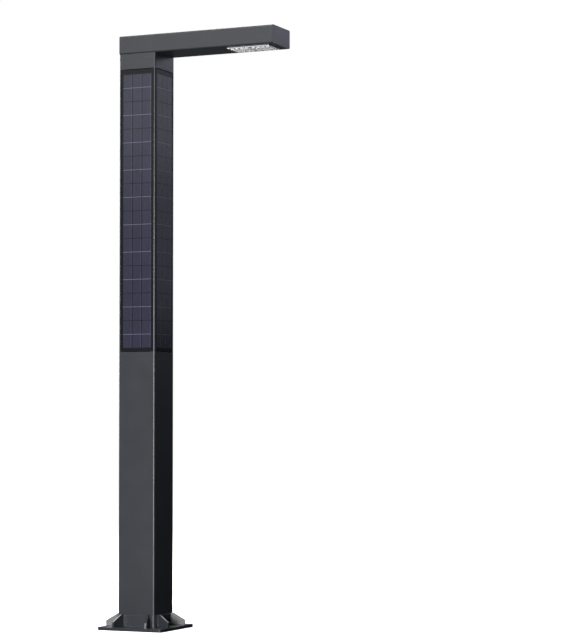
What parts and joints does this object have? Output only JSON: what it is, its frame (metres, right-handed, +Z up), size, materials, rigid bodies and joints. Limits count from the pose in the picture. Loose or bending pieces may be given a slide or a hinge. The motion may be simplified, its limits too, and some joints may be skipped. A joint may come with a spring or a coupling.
{
  "type": "solar street lamp",
  "caption": "Square-column solar street lamp with modules let into all four faces, a flat arm with LED optics under its tip, and a ribbed base plate.",
  "frame": {"origin": "centre of the base plate's underside, on the column's axis and at the centre of the anchor bolt pattern", "axes": "+Z up along the column, +X along the arm towards its tip, -Y out of the front face"},
  "size_m": [0.905, 0.35, 2.91],
  "materials": {
    "powder_coat": "anthracite polyester powder coat, semi-gloss, on galvanised steel",
    "solar_laminate": "tempered glass over dark blue-violet silicon cells on a black backing sheet",
    "seal_rubber": "matte black EPDM",
    "zinc_steel": "zinc-plated steel, satin",
    "stainless_steel": "brushed stainless steel",
    "black_plastic": "matte black plastic",
    "controller_case": "moulded ABS, fine texture",
    "battery_case": "shrink-wrapped battery case",
    "strap_webbing": "woven polyester webbing",
    "heat_sink_aluminium": "extruded aluminium",
    "led_board_white": "white solder mask on an aluminium-cored board",
    "lens_acrylic": "clear moulded acrylic optic"
  },
  "bodies": {
    "root": {"arm_bolts": "zinc_steel", "arm_rear_cap": "powder_coat", "arm_tip_cap": "powder_coat", "arm_tube": "powder_coat", "arm_weld_nuts": "zinc_steel", "base_collar": "powder_coat", "base_plate": "powder_coat", "base_ribs": "powder_coat", "battery_leads": "black_plastic", "battery_pack": "battery_case", "battery_strap": "strap_webbing", "battery_tray": "zinc_steel", "brace_ring_lower": "zinc_steel", "brace_ring_middle": "zinc_steel", "brace_ring_upper": "zinc_steel", "cable_clips": "black_plastic", "cable_grommet": "seal_rubber", "charge_controller": "controller_case", "column_head": "powder_coat", "column_top_plate": "powder_coat", "column_tube": "powder_coat", "corner_post_back_left": "powder_coat", "corner_post_back_right": "powder_coat", "corner_post_front_left": "powder_coat", "corner_post_front_right": "powder_coat", "door_frame": "zinc_steel", "earth_stud": "zinc_steel", "equipment_plate": "zinc_steel", "hinge_leaves_fixed": "stainless_steel", "hinge_pins": "stainless_steel", "led_board": "led_board_white", "led_cable": "black_plastic", "led_driver": "black_plastic", "led_gasket": "seal_rubber", "led_heat_sink": "heat_sink_aluminium", "led_lens_inner": "lens_acrylic", "led_lens_outer": "lens_acrylic", "led_screws": "stainless_steel", "led_terminal_block": "black_plastic", "plate_screws": "zinc_steel", "plate_standoffs": "zinc_steel", "pv_gasket_back": "seal_rubber", "pv_gasket_front": "seal_rubber", "pv_gasket_left": "seal_rubber", "pv_gasket_right": "seal_rubber", "pv_junction_boxes": "black_plastic", "pv_leads": "black_plastic", "pv_module_back": "solar_laminate", "pv_module_front": "solar_laminate", "pv_module_left": "solar_laminate", "pv_module_right": "solar_laminate"},
    "door": {"service_door": "powder_coat", "door_gasket": "seal_rubber", "hinge_leaves_door": "stainless_steel", "lock_housing": "stainless_steel"},
    "lock": {"lock_plug": "stainless_steel", "lock_cam": "zinc_steel"}
  },
  "joints": [
    {"name": "door_hinge", "type": "hinge", "parent": "root", "child": "door", "pos_m": [-0.104, 0.062, 0.7], "axis": [0, 0, -1], "range_deg": [0, 120]},
    {"name": "lock_turn", "type": "hinge", "parent": "door", "child": "lock", "pos_m": [-0.1, -0.044, 0.7], "axis": [1, 0, 0], "range_deg": [-90, 0]}
  ]
}
